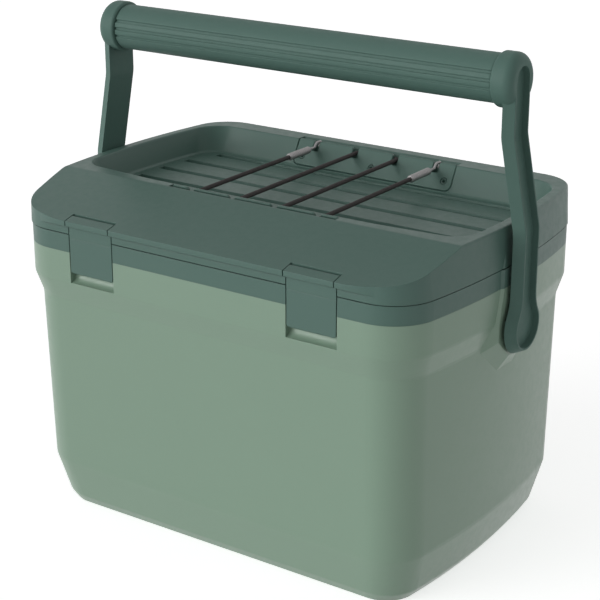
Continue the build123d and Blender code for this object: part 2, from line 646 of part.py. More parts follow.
def pivot_end(strip, radius, blend):
    """Side view of an arm's lower end: a disc that runs into the strip above it."""
    with BuildSketch() as outline:
        with Locations((HANDLE_Y, PIVOT_Z + 28)):
            Rectangle(2 * strip, 56)
        with Locations((HANDLE_Y, PIVOT_Z)):
            Circle(radius)
        necks = [
            v for v in outline.vertices()
            if abs(abs(v.X - HANDLE_Y) - strip) < 0.01 and PIVOT_Z < v.Y < PIVOT_Z + 50
        ]
        fillet(necks, blend)
    return outline.sketch


DRAFT_IN = math.degrees(math.atan((ARM_IN_HALF - ARM_OUT_HALF) / ARM_T))
MOUTH = ARM_T + 1  # the channel is cut from a plane just outside the arm
MOUTH_HALF = ARM_OUT_HALF - ARM_LIP
CHANNEL_DEEP = MOUTH - ARM_WEB
with BuildPart() as arm_channel:
    narrow = MOUTH_HALF - CHANNEL_DEEP * math.tan(math.radians(ARM_DRAFT))
    add(arm_sweep([(ARM_WEB, narrow), (MOUTH, MOUTH_HALF)], GRIP_Z + 1.5))
    with BuildSketch(Plane.YZ.offset(ARM_LOW_X + MOUTH)):
        add(pivot_end(MOUTH_HALF, PIVOT_END_R - ARM_IN_HALF + MOUTH_HALF, PIVOT_BLEND_R + 5))
    extrude(amount=-CHANNEL_DEEP, taper=ARM_DRAFT)
    with BuildSketch(Plane.YZ.offset(ARM_TOP_X + MOUTH)):
        with Locations((HANDLE_Y, GRIP_Z + 1.5)):
            Circle(MOUTH_HALF)
    extrude(amount=-CHANNEL_DEEP, taper=ARM_DRAFT)

with BuildPart() as handle_arm_right:
    with BuildSketch(Plane.YZ.offset(GRIP_HALF + 0.4)):
        with Locations((HANDLE_Y, GRIP_Z)):
            Circle(COLLAR_R)
    extrude(amount=ARM_TOP_X + ARM_T - GRIP_HALF - 0.4)
    fillet(handle_arm_right.edges().sort_by(Axis.X)[-1], COLLAR_ROUND)
    fillet(handle_arm_right.edges().sort_by(Axis.X)[0], 2.2)
    add(arm_sweep([(0, ARM_IN_HALF), (ARM_T, ARM_OUT_HALF)], GRIP_Z))
    with BuildSketch(Plane.YZ.offset(ARM_LOW_X)):
        add(pivot_end(ARM_IN_HALF, PIVOT_END_R, PIVOT_BLEND_R))
    extrude(amount=ARM_T, taper=DRAFT_IN)
    add(arm_channel.part, mode=Mode.SUBTRACT)
    with Locations(Plane(origin=(GRIP_HALF, HANDLE_Y, GRIP_Z), z_dir=(1, 0, 0))):
        Cylinder(CORE_R + 0.02, 2 * (CORE_HALF - GRIP_HALF), mode=Mode.SUBTRACT)
    with BuildSketch(Plane.YZ.offset(PAD_X + WASHER_T + 0.3)):
        with Locations((HANDLE_Y, PIVOT_Z)):
            Circle(BOSS_R)
    extrude(amount=ARM_LOW_X + 0.5 - PAD_X - WASHER_T - 0.3)
    with BuildSketch(Plane.YZ.offset(PAD_X)):
        with Locations((HANDLE_Y, PIVOT_Z)):
            Circle(STUD_R + 0.06)
    extrude(amount=STUD_X[1] + 0.2 - PAD_X, mode=Mode.SUBTRACT)
handle_arm_right.part.label = "handle_arm_right"

with BuildPart() as handle_arm_left:
    add(handle_arm_right.part)
    mirror(about=Plane.YZ, mode=Mode.REPLACE)
handle_arm_left.part.label = "handle_arm_left"

with BuildPart() as handle_grip:
    with BuildSketch(Plane.YZ.offset(-GRIP_HALF)):
        with Locations((HANDLE_Y, GRIP_Z)):
            Circle(GRIP_R)
            Circle(CORE_R, mode=Mode.SUBTRACT)
    extrude(amount=2 * GRIP_HALF)
    with BuildSketch(Plane.YZ.offset(GROOVE_END - GRIP_HALF)):
        for angle in GRIP_GROOVES:
            t = math.radians(angle)
            at = (HANDLE_Y - GRIP_R * math.cos(t), GRIP_Z + GRIP_R * math.sin(t), 0)
            with Locations(Location(at, (0, 0, -angle))):
                Rectangle(2.6, 2.2)
    extrude(amount=2 * (GRIP_HALF - GROOVE_END), mode=Mode.SUBTRACT)
handle_grip.part.label = "handle_grip"

with BuildPart() as grip_core:
    with BuildSketch(Plane.YZ.offset(-CORE_HALF)):
        with Locations((HANDLE_Y, GRIP_Z)):
            Circle(CORE_R)
            Circle(CORE_R - 2.5, mode=Mode.SUBTRACT)
    extrude(amount=2 * CORE_HALF)
grip_core.part.label = "grip_core"

for piece in (outer_shell, rim_collar, inner_liner, body_foam, lid_shell, lid_pan, lid_gasket,
              lid_foam, bungee_cord, handle_arm_left, handle_arm_right, handle_grip, grip_core):
    export_step(piece.part, f"parts/{piece.part.label}.step")
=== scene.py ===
"""Portable cooler with a swing-up handle: the finishes of its parts, and the fine pieces that stand
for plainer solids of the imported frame. Sizes are in metres."""

import math

import bpy
import numpy as np
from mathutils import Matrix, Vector


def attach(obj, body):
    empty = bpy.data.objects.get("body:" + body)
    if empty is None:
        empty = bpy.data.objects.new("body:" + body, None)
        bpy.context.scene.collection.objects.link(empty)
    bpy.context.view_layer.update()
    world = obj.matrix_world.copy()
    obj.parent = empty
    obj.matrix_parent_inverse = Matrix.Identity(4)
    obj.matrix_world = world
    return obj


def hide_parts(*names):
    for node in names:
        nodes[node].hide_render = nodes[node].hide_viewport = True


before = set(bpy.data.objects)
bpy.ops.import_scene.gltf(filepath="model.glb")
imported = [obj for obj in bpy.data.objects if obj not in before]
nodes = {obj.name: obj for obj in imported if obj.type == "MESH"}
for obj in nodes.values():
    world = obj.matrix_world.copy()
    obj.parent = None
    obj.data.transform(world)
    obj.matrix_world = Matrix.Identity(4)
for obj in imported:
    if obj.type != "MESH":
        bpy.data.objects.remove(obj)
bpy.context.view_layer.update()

# ------------------------------------------------------------------ camera, floor and lamps
# A plain studio: a pale floor that runs out of sight, a broad low lamp from the front left, a weaker
# one from behind, and a sky that is brighter at the horizon than overhead.
CAMERA_AZIMUTH, CAMERA_ELEVATION, CAMERA_DISTANCE = 34.61, 20.12, 1.4643
CAMERA_TARGET = Vector((0.0010, 0.0, 0.1933))
SENSOR_MM, LENS_MM = 36.0, 98.60
KEY = {"azimuth": -34.0, "elevation": 5.0, "strength": 2.62, "angle": 58.0}
BACK = {"azimuth": 165.0, "elevation": 12.0, "strength": 0.35, "angle": 60.0}
SKY_ZENITH, SKY_HORIZON, ZENITH_FROM = 0.38, 0.64, 0.75
FLOOR_HALF, FLOOR_COLOUR, FLOOR_GLOW, FLOOR_ROUGHNESS = 30.0, (0.86, 0.86, 0.86, 1.0), 0.64, 0.9
WHITE = (1.0, 1.0, 1.0, 1.0)


def direction(azimuth, elevation):
    """Unit vector towards an azimuth round the cooler, 0 in front, and an elevation, in degrees."""
    a, e = math.radians(azimuth), math.radians(elevation)
    return Vector((math.sin(a) * math.cos(e), -math.cos(a) * math.cos(e), math.sin(e)))


camera = bpy.data.objects.new("camera", bpy.data.cameras.new("camera"))
camera.data.sensor_width, camera.data.lens = SENSOR_MM, LENS_MM
outward = direction(CAMERA_AZIMUTH, CAMERA_ELEVATION)
camera.location = CAMERA_TARGET + CAMERA_DISTANCE * outward
camera.rotation_mode = "QUATERNION"
camera.rotation_quaternion = (-outward).to_track_quat("-Z", "Y")
bpy.context.scene.collection.objects.link(camera)
bpy.context.scene.camera = camera
bpy.context.scene.view_settings.view_transform = "Standard"


def add_sun(name, lamp):
    """A distant soft lamp; its angle is how wide it looks from the cooler, in degrees."""
    sun = bpy.data.objects.new(name, bpy.data.lights.new(name, "SUN"))
    sun.data.energy, sun.data.angle = lamp["strength"], math.radians(lamp["angle"])
    sun.rotation_mode = "QUATERNION"
    sun.rotation_quaternion = direction(lamp["azimuth"], lamp["elevation"]).to_track_quat("Z", "Y")
    bpy.context.scene.collection.objects.link(sun)


add_sun("key_lamp", KEY)
add_sun("back_lamp", BACK)


def maths(tree, operation, *values):
    """A Math node whose inputs are sockets or plain numbers; gives its output socket."""
    node = tree.nodes.new("ShaderNodeMath")
    node.operation = operation
    for slot, value in zip(node.inputs, values):
        if hasattr(value, "is_output"):
            tree.links.new(value, slot)
        else:
            slot.default_value = value
    return node.outputs[0]


def any_of(tree, light_path, *rays):
    """1 where a ray is of any of the named kinds."""
    total = 0.0
    for ray in rays:
        total = maths(tree, "MAXIMUM", light_path.outputs[ray], total)
    return total


world = bpy.data.worlds.new("studio_sky")
bpy.context.scene.world = world
world.use_nodes = True
sky_tree = world.node_tree
sky_tree.nodes.clear()
split = sky_tree.nodes.new("ShaderNodeSeparateXYZ")
sky_tree.links.new(sky_tree.nodes.new("ShaderNodeTexCoord").outputs["Generated"], split.inputs[0])
height = sky_tree.nodes.new("ShaderNodeMapRange")
height.inputs["From Min"].default_value, height.inputs["From Max"].default_value = 0.0, ZENITH_FROM
height.inputs["To Min"].default_value, height.inputs["To Max"].default_value = SKY_HORIZON, SKY_ZENITH
sky_tree.links.new(split.outputs["Z"], height.inputs["Value"])
level = sky_tree.nodes.new("ShaderNodeMix")
level.data_type = "FLOAT"
seen = any_of(sky_tree, sky_tree.nodes.new("ShaderNodeLightPath"),
              "Is Camera Ray", "Is Glossy Ray", "Is Transmission Ray")
sky_tree.links.new(seen, level.inputs["Factor"])
sky_tree.links.new(height.outputs["Result"], level.inputs["A"])
level.inputs["B"].default_value = 1.0
sky = sky_tree.nodes.new("ShaderNodeBackground")
sky_tree.links.new(level.outputs["Result"], sky.inputs["Strength"])
sky_tree.links.new(sky.outputs[0], sky_tree.nodes.new("ShaderNodeOutputWorld").inputs["Surface"])

floor_mesh = bpy.data.meshes.new("floor")
floor_corners = [(x * FLOOR_HALF, y * FLOOR_HALF, 0) for x, y in ((-1, -1), (1, -1), (1, 1), (-1, 1))]
floor_mesh.from_pydata(floor_corners, [], [(0, 1, 2, 3)])
floor = bpy.data.objects.new("floor", floor_mesh)
bpy.context.scene.collection.objects.link(floor)
floor_paint = bpy.data.materials.new("floor_paint")
floor_paint.use_nodes = True
floor_tree = floor_paint.node_tree
paint = floor_tree.nodes["Principled BSDF"]
paint.inputs["Base Color"].default_value = FLOOR_COLOUR
paint.inputs["Roughness"].default_value = FLOOR_ROUGHNESS
paint.inputs["Specular IOR Level"].default_value = 0.0
paint.inputs["Emission Color"].default_value = WHITE
rays = floor_tree.nodes.new("ShaderNodeLightPath")
glow = maths(floor_tree, "MULTIPLY", rays.outputs["Is Camera Ray"], FLOOR_GLOW)
floor_tree.links.new(glow, paint.inputs["Emission Strength"])
mirrored = floor_tree.nodes.new("ShaderNodeEmission")
painted = floor_tree.nodes.new("ShaderNodeMixShader")
in_gloss = any_of(floor_tree, rays, "Is Glossy Ray", "Is Transmission Ray")
floor_tree.links.new(in_gloss, painted.inputs["Fac"])
floor_tree.links.new(paint.outputs[0], painted.inputs[1])
floor_tree.links.new(mirrored.outputs[0], painted.inputs[2])
floor_tree.links.new(painted.outputs[0], floor_tree.nodes["Material Output"].inputs["Surface"])
floor.data.materials.append(floor_paint)

# ------------------------------------------------------------------ outer shell
# The light green body is a thick-walled plastic moulding with a fine satin grain from its tool. It
# is one piece from the base to the band below the rim, softly rounded at every crease.
LIGHT_GREEN = (0.225, 0.335, 0.250)
MM_PER_METRE = 1000.0
CLOUDS_PER_METRE, STREAKS_PER_METRE = 9.0, 160.0
GRAIN_NOISE, CLOUD_NOISE, STREAK_NOISE = (1.5, 0.45), (3.0, 0.55), (2.0, 0.6)  # detail, roughness
NOISE_LOW, NOISE_MIDDLE, NOISE_HIGH = 0.35, 0.5, 0.65  # nearly all of a noise's values lie between
SHADER_SOCKETS = {"Colour": "Base Color", "Roughness": "Roughness"}
BEVEL_SAMPLES = 6


def new_effect(name, inputs, outputs):
    """A shader node group with named sockets: (name, kind, default) for each input."""
    group = bpy.data.node_groups.new(name, "ShaderNodeTree")
    for socket, kind, default in inputs:
        made = group.interface.new_socket(socket, in_out="INPUT", socket_type=f"NodeSocket{kind}")
        made.default_value = default
    for socket, kind in outputs:
        group.interface.new_socket(socket, in_out="OUTPUT", socket_type=f"NodeSocket{kind}")
    return group, group.nodes.new("NodeGroupInput"), group.nodes.new("NodeGroupOutput")


def noise(tree, coordinates, scale, detail, roughness):
    """A noise texture on given coordinates, with a number or a socket for its scale."""
    node = tree.nodes.new("ShaderNodeTexNoise")
    tree.links.new(coordinates, node.inputs["Vector"])
    if hasattr(scale, "is_output"):
        tree.links.new(scale, node.inputs["Scale"])
    else:
        node.inputs["Scale"].default_value = scale
    node.inputs["Detail"].default_value, node.inputs["Roughness"].default_value = detail, roughness
    return node.outputs[0]


def combined(tree, operation, vector, other, socket=1):
    """A Vector Math node on two sockets, such as a colour and what it is scaled by."""
    node = tree.nodes.new("ShaderNodeVectorMath")
    node.operation = operation
    tree.links.new(vector, node.inputs[0])
    tree.links.new(other, node.inputs[socket])
    return node.outputs[0]


def spread_roughness(group, value, entry, exit_node):
    """Spreads a noise's values over the group's low to high roughness."""
    spread = group.nodes.new("ShaderNodeMapRange")
    spread.inputs["From Min"].default_value = NOISE_LOW
    spread.inputs["From Max"].default_value = NOISE_HIGH
    group.links.new(value, spread.inputs["Value"])
    group.links.new(entry.outputs["Low roughness"], spread.inputs["To Min"])
    group.links.new(entry.outputs["High roughness"], spread.inputs["To Max"])
    group.links.new(spread.outputs["Result"], exit_node.inputs["Roughness"])


def effect_material(name, group, settings, depth):
    """A material that takes its colour, roughness and bump from a node group on object coordinates.

    depth is the bump's full height in metres. Gives the material, its shader and its bump node, so
    that what is the same all over can be set on their own sockets.
    """
    material = bpy.data.materials.new(name)
    material.use_nodes = True
    tree = material.node_tree
    shader, effect = tree.nodes["Principled BSDF"], tree.nodes.new("ShaderNodeGroup")
    effect.node_tree = group
    tree.links.new(tree.nodes.new("ShaderNodeTexCoord").outputs["Object"], effect.inputs["Coordinates"])
    for socket, value in settings.items():
        effect.inputs[socket].default_value = value
    for output in effect.outputs:
        if output.name in SHADER_SOCKETS:
            tree.links.new(output, shader.inputs[SHADER_SOCKETS[output.name]])
    bump = tree.nodes.new("ShaderNodeBump")
    bump.inputs["Strength"].default_value, bump.inputs["Distance"].default_value = 1.0, depth
    tree.links.new(effect.outputs["Height"], bump.inputs["Height"])
    tree.links.new(bump.outputs[0], shader.inputs["Normal"])
    return material, shader, bump


# Moulded plastic has a broad, faint change of tone, a fine speckle, and a grain that stands proud.
moulded, m_in, m_out = new_effect(
    "moulded_plastic",
    [("Coordinates", "Vector", (0, 0, 0)), ("Colour", "Color", (0.5, 0.5, 0.5, 1)),
     ("Grain size mm", "Float", 0.7), ("Tone change", "Float", 0.05), ("Speckle", "Float", 0.05),
     ("Low roughness", "Float", 0.42), ("High roughness", "Float", 0.55)],
    [("Colour", "Color"), ("Roughness", "Float"), ("Height", "Float")],
)
where = m_in.outputs["Coordinates"]
grain_scale = maths(moulded, "DIVIDE", MM_PER_METRE, m_in.outputs["Grain size mm"])
grain = noise(moulded, where, grain_scale, *GRAIN_NOISE)
cloud = noise(moulded, where, CLOUDS_PER_METRE, *CLOUD_NOISE)
streak = noise(moulded, where, STREAKS_PER_METRE, *STREAK_NOISE)
tone = maths(moulded, "SUBTRACT", cloud, NOISE_MIDDLE)
tone = maths(moulded, "MULTIPLY", tone, m_in.outputs["Tone change"])
fleck = maths(moulded, "SUBTRACT", grain, NOISE_MIDDLE)
fleck = maths(moulded, "MULTIPLY", fleck, m_in.outputs["Speckle"])
shade = maths(moulded, "ADD", maths(moulded, "ADD", tone, fleck), 1.0)
tinted = combined(moulded, "SCALE", m_in.outputs["Colour"], shade, "Scale")
moulded.links.new(tinted, m_out.inputs["Colour"])
moulded.links.new(grain, m_out.inputs["Height"])
spread_roughness(moulded, streak, m_in, m_out)


def plastic(name, colour, grain_mm=0.7, tone=0.05, speckle=0.06, rough=(0.38, 0.46), depth=0.00003,
            edge=0.0008, shine=0.5):
    """Moulded plastic with its tool grain; edge is how far a sharp edge looks softened, in metres."""
    material, shader, bump = effect_material(name, moulded, {
        "Colour": (*colour, 1.0), "Grain size mm": grain_mm, "Tone change": tone, "Speckle": speckle,
        "Low roughness": rough[0], "High roughness": rough[1],
    }, depth)
    shader.inputs["Specular IOR Level"].default_value = shine
    soft = material.node_tree.nodes.new("ShaderNodeBevel")
    soft.samples = BEVEL_SAMPLES
    soft.inputs["Radius"].default_value = edge
    material.node_tree.links.new(soft.outputs[0], bump.inputs["Normal"])
    return material


def finish_with(material, *names):
    """Gives solids of the frame their finish, by name."""
    for name in names:
        slots = nodes[name].data.materials
        slots.clear()
        slots.append(material)


light_plastic = plastic("light_green_plastic", LIGHT_GREEN, grain_mm=0.8, tone=0.04, speckle=0.05,
                        rough=(0.30, 0.38))
finish_with(light_plastic, "outer_shell")

# ------------------------------------------------------------------ rim collar
# A dark green ring of the lid's plastic, bonded to the top of the shell and flush with its band.
# The lid closes on it.
DARK_GREEN = (0.079, 0.151, 0.126)
dark_plastic = plastic("dark_green_plastic", DARK_GREEN, shine=0.38)
finish_with(dark_plastic, "rim_collar")

# ------------------------------------------------------------------ liner and foam
# The food-safe liner is a pale vacuum-formed tub with a smoother face than the outside. Rigid foam
# poured between the two walls holds them together.
LINER_GREY, FOAM_CREAM = (0.62, 0.63, 0.61), (0.72, 0.66, 0.47)
CELL_MM, CELL_DEPTH, FOAM_ROUGHNESS = 0.7, 0.00021, 0.9
# The second tone is painted shade: the cells are painted darker than their walls, following the bump.
CELL_MIDDLE_TONE, CELL_SHADE_CONTRAST = 0.75, 0.35  # a cell's middle, and how much brighter its wall is
liner_plastic = plastic("liner_plastic", LINER_GREY, grain_mm=1.6, tone=0.03, speckle=0.02,
                        rough=(0.30, 0.38), depth=0.00001, edge=0.0010)
finish_with(liner_plastic, "inner_liner")

# Cut foam shows round open cells. Their colour follows the bump: the walls are painted brighter and the
# cells darker, as painted shade.
foam_cells, f_in, f_out = new_effect(
    "foam_cells",
    [("Coordinates", "Vector", (0, 0, 0)), ("Cell size mm", "Float", 0.6),
     ("Colour", "Color", (0.7, 0.6, 0.4, 1))],
    [("Colour", "Color"), ("Height", "Float")],
)
cell = foam_cells.nodes.new("ShaderNodeTexVoronoi")
foam_cells.links.new(f_in.outputs["Coordinates"], cell.inputs["Vector"])
cell_scale = maths(foam_cells, "DIVIDE", MM_PER_METRE, f_in.outputs["Cell size mm"])
foam_cells.links.new(cell_scale, cell.inputs["Scale"])
walls = maths(foam_cells, "SUBTRACT", 1.0, cell.outputs["Distance"])
# Painted shade: the foam is painted darker where its bump is low.
painted_cell_shade = maths(foam_cells, "MULTIPLY_ADD", walls, CELL_SHADE_CONTRAST, CELL_MIDDLE_TONE)
lit = combined(foam_cells, "SCALE", f_in.outputs["Colour"], painted_cell_shade, "Scale")
foam_cells.links.new(lit, f_out.inputs["Colour"])
foam_cells.links.new(walls, f_out.inputs["Height"])

rigid_foam, shader, _ = effect_material(
    "rigid_foam", foam_cells, {"Cell size mm": CELL_MM, "Colour": (*FOAM_CREAM, 1.0)}, CELL_DEPTH)
shader.inputs["Roughness"].default_value = FOAM_ROUGHNESS
finish_with(rigid_foam, "body_foam", "lid_foam")

# ------------------------------------------------------------------ handle pivots
# Each pivot is a turned steel stud screwed into an anchor that the foam locks in. A slippery white
# washer keeps the handle arm off the pad.
STEEL, ALUMINIUM, WASHER_WHITE = (0.52, 0.52, 0.52), (0.60, 0.60, 0.61), (0.66, 0.66, 0.64)
LINE_NOISE = (1.0, 0.5)

# Tool lines: a noise drawn out along some axes, which varies the gloss and cuts faint grooves.
turned_metal, t_in, t_out = new_effect(
    "turned_metal",
    [("Coordinates", "Vector", (0, 0, 0)), ("Stretch", "Vector", (1, 1, 1)),
     ("Line size mm", "Float", 0.15), ("Low roughness", "Float", 0.28),
     ("High roughness", "Float", 0.42)],
    [("Roughness", "Float"), ("Height", "Float")],
)
drawn_out = combined(turned_metal, "MULTIPLY", t_in.outputs["Coordinates"], t_in.outputs["Stretch"])
line_scale = maths(turned_metal, "DIVIDE", MM_PER_METRE, t_in.outputs["Line size mm"])
lines = noise(turned_metal, drawn_out, line_scale, *LINE_NOISE)
turned_metal.links.new(lines, t_out.inputs["Height"])
spread_roughness(turned_metal, lines, t_in, t_out)


def metal(name, colour, stretch=(1, 1, 1), line_mm=0.15, rough=(0.28, 0.42), depth=0.000004,
          metallic=1.0):
    """Bare, plated or coated metal; its tool lines run along the axes where stretch is small."""
    material, shader, _ = effect_material(name, turned_metal, {
        "Stretch": stretch, "Line size mm": line_mm,
        "Low roughness": rough[0], "High roughness": rough[1],
    }, depth)
    shader.inputs["Base Color"].default_value = (*colour, 1.0)
    shader.inputs["Metallic"].default_value = metallic
    return material


turned_steel = metal("turned_steel", STEEL, stretch=(1, 0.05, 0.05))
finish_with(turned_steel, "pivot_stud_left", "pivot_stud_right")
anchor_metal = metal("anchor_metal", ALUMINIUM, rough=(0.45, 0.6))
finish_with(anchor_metal, "pivot_anchor_left", "pivot_anchor_right")
washer_plastic = plastic("washer_plastic", WASHER_WHITE, grain_mm=0.5, tone=0.02, speckle=0.02,
                         rough=(0.25, 0.32), depth=0.000004, edge=0.0002)
finish_with(washer_plastic, "pivot_washer_left", "pivot_washer_right")

# ------------------------------------------------------------------ latch catches
# A rounded bar moulded on the floor of each pocket, in the shell's own plastic. The latch's hook
# snaps over it.
finish_with(light_plastic, "latch_catch_left", "latch_catch_right")

# ------------------------------------------------------------------ lid shell
# One dark green moulding: sloped front, flat rim, and a tray with a grooved floor let into its top.
# It has the collar's plastic and grain.
finish_with(dark_plastic, "lid_shell")

# ------------------------------------------------------------------ lid pan and gasket
# The pale pan closes the lid from below, and a soft rubber ring in its groove seals on the collar.
# Rigid foam fills the space between the pan and the lid shell.
GASKET_BLACK = (0.022, 0.022, 0.023)
finish_with(liner_plastic, "lid_pan")
gasket_rubber = plastic("gasket_rubber", GASKET_BLACK, grain_mm=0.35, tone=0.10, speckle=0.12,
                        rough=(0.60, 0.75), depth=0.00001, edge=0.0003)
finish_with(gasket_rubber, "lid_gasket")

# ------------------------------------------------------------------ cord plates and their screws
# Two moulded plates lean against the front and rear of the tray and carry the cord in open slots.
# Each is held by three socket screws with a green coating, their heads let into the plate.
# The plates, as the middle of the screws' row, the way the face looks along Y, and its lean.
PLATES = {"rear": ((0.0, 0.11714, 0.28806), -1, 31.0), "front": ((0.0, -0.06311, 0.28969), 1, 12.0)}
SCREW_COLUMNS = (-0.0774, 0.0, 0.0774)
# Radius, height over the plate's face, and 1 where the ring is six-sided, from the bottom of the
# socket out over the head and down to the tip of the shank.
SCREW_PROFILE = np.array([
    (0.00095, -0.0044, 0), (0.00105, -0.0021, 0), (0.00175, -0.0015, 1), (0.00180, -0.0004, 1),
    (0.00190, -0.0002, 1), (0.00205, -0.0001, 0), (0.00240, -0.0001, 0), (0.00260, -0.00022, 0),
    (0.00275, -0.00045, 0), (0.0028, -0.0008, 0), (0.0028, -0.0015, 0), (0.0027, -0.0016, 0),
    (0.0014, -0.00245, 0), (0.0014, -0.0098, 0), (0.0006, -0.0106, 0),
])
SCREW_SIDES = 60
ALONG_X = np.array((1.0, 0.0, 0.0))
plate_plastic = plastic("cord_plate_plastic", DARK_GREEN, rough=(0.42, 0.50), edge=0.0015, shine=0.40)
finish_with(plate_plastic, "cord_plate_front", "cord_plate_rear")
coated_screw = plastic("coated_screw", DARK_GREEN, grain_mm=0.25, tone=0.03, speckle=0.05,
                       rough=(0.36, 0.44), depth=0.000004, edge=0.0002)


def solid_of_rings(name, rings, material, body, slot, *stands_for):
    """Closed smooth piece from rings of points, an array (rings, around, 3): each ring is joined to
    the next by quads, and the middle of each end ring closes that end by a fan."""
    count, around = rings.shape[:2]
    points = np.concatenate([rings.reshape(-1, 3), rings[[0, -1]].mean(axis=1)])
    i, j = np.meshgrid(np.arange(count - 1) * around, np.arange(around), indexing="ij")
    k = (j + 1) % around
    quads = np.stack([i + j, i + around + j, i + around + k, i + k], axis=-1).reshape(-1, 4)
    j, k = j[0], k[0]
    last, middle = (count - 1) * around, count * around
    fans = np.concatenate([
        np.stack([np.full(around, middle), j, k], axis=-1),
        np.stack([np.full(around, middle + 1), last + k, last + j], axis=-1),
    ])
    a, b, c = (points[quads[:, corner]] for corner in (0, 1, 2))
    from_middle = (a + b + c) / 3 - points.mean(axis=0)
    if np.einsum("ij,ij->i", np.cross(b - a, c - a), from_middle).sum() < 0:
        quads, fans = quads[:, ::-1], fans[:, ::-1]
    mesh = bpy.data.meshes.new(name)
    mesh.from_pydata(points.tolist(), [], quads.tolist() + fans.tolist())
    mesh.polygons.foreach_set("use_smooth", np.ones(len(mesh.polygons), dtype=bool))
    mesh.update()
    mesh.materials.append(material)
    piece = bpy.data.objects.new(name, mesh)
    bpy.context.scene.collection.objects.link(piece)
    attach(piece, body)
    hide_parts(*stands_for)


def screw_rings(centre, facing):
    """Rings round a screw's axis: centre + h facing + r g (cos t X + sin t U), with U up the plate,
    r and h from the profile, and g 1 or, in the socket, cos(pi/6) / cos(t mod pi/3 - pi/6)."""
    t = np.linspace(0.0, math.tau, SCREW_SIDES, endpoint=False)
    hexagon = math.cos(math.pi / 6) / np.cos((t % (math.pi / 3)) - math.pi / 6)
    around = np.cos(t)[:, None] * ALONG_X + np.sin(t)[:, None] * np.cross(facing, ALONG_X)
    radius = SCREW_PROFILE[:, :1] * np.where(SCREW_PROFILE[:, 2:] > 0, hexagon, 1.0)
    return centre + SCREW_PROFILE[:, 1, None, None] * facing + radius[..., None] * around


for plate, (middle, way, lean) in PLATES.items():
    lean = math.radians(lean)
    facing = np.array((0.0, way * math.cos(lean), math.sin(lean)))
    for number, column in enumerate(SCREW_COLUMNS, 1):
        solid_of_rings(f"socket_screw_{plate}_{number}",
                       screw_rings(np.array(middle) - way * column * ALONG_X, facing), coated_screw,
                       "lid", "black_steel", f"plate_screw_{plate}_{number}")

# ------------------------------------------------------------------ bungee cord
# A rubber core in a tightly braided cover, laced to and fro through the plates in four strands.
# Crushed metal ferrules close its ends round a bent wire that hooks behind the rear plate.
STRAND_PITCH, CORD_HEIGHT = 0.0436, 0.297
CORD_BROWN, CORD_ROUGHNESS, CORD_SHINE, WEAVE_DEPTH = (0.050, 0.043, 0.042), 0.80, 0.35, 0.00010
FUZZ_PER_METRE, FUZZ_NOISE, FUZZ_TONE, FUZZ_HEIGHT = 2600.0, (2.0, 0.6), 0.6, 0.3
# The second tone is painted shade: how far the colour darkens where the yarns dip under each other.
DYED_TONE, CROSSING_PAINTED_SHADE = 0.70, 0.25
PITCHES_LEFT = 10.0  # strands are counted from this many pitches to the left of the middle

# A braid: two sets of yarns wind round each strand in opposite ways and cross, with a fine fuzz. The
# colour follows the weave's bump and is painted darker where the yarns dip, as painted shade.
braid, b_in, b_out = new_effect(
    "braided_cover",
    [("Coordinates", "Vector", (0, 0, 0)), ("Strand pitch", "Float", STRAND_PITCH),
     ("Height", "Float", CORD_HEIGHT), ("Yarns round", "Float", 6.0),
     ("Yarn length mm", "Float", 2.6), ("Colour", "Color", (0.05, 0.04, 0.04, 1))],
    [("Colour", "Color"), ("Height", "Float")],
)
place = braid.nodes.new("ShaderNodeSeparateXYZ")
braid.links.new(b_in.outputs["Coordinates"], place.inputs[0])
across = maths(braid, "DIVIDE", place.outputs["X"], b_in.outputs["Strand pitch"])
across = maths(braid, "FRACT", maths(braid, "ADD", across, PITCHES_LEFT))
across = maths(braid, "SUBTRACT", across, 0.5)
across = maths(braid, "MULTIPLY", across, b_in.outputs["Strand pitch"])
upward = maths(braid, "SUBTRACT", place.outputs["Z"], b_in.outputs["Height"])
turned = maths(braid, "ARCTAN2", upward, across)
turned = maths(braid, "MULTIPLY", turned, b_in.outputs["Yarns round"])
yarn_length = maths(braid, "MULTIPLY", b_in.outputs["Yarn length mm"], 1.0 / MM_PER_METRE)
along = maths(braid, "MULTIPLY", maths(braid, "DIVIDE", place.outputs["Y"], yarn_length), math.tau)
right_hand = maths(braid, "SINE", maths(braid, "ADD", turned, along))
left_hand = maths(braid, "SINE", maths(braid, "SUBTRACT", turned, along))
crossing = maths(braid, "MULTIPLY", right_hand, left_hand)
fuzz = noise(braid, b_in.outputs["Coordinates"], FUZZ_PER_METRE, *FUZZ_NOISE)
yarn_tone_and_shade = maths(braid, "MULTIPLY_ADD", fuzz, FUZZ_TONE, DYED_TONE)
# Painted shade: the yarns are painted darker where the weave dips.
yarn_tone_and_shade = maths(braid, "MULTIPLY_ADD", crossing, CROSSING_PAINTED_SHADE, yarn_tone_and_shade)
dyed_and_shaded = combined(braid, "SCALE", b_in.outputs["Colour"], yarn_tone_and_shade, "Scale")
braid.links.new(dyed_and_shaded, b_out.inputs["Colour"])
braid.links.new(maths(braid, "MULTIPLY_ADD", fuzz, FUZZ_HEIGHT, crossing), b_out.inputs["Height"])

cord_cover, shader, _ = effect_material(
    "braided_cord_cover", braid, {"Colour": (*CORD_BROWN, 1.0)}, WEAVE_DEPTH)
shader.inputs["Roughness"].default_value = CORD_ROUGHNESS
shader.inputs["Specular IOR Level"].default_value = CORD_SHINE
finish_with(cord_cover, "bungee_cord")

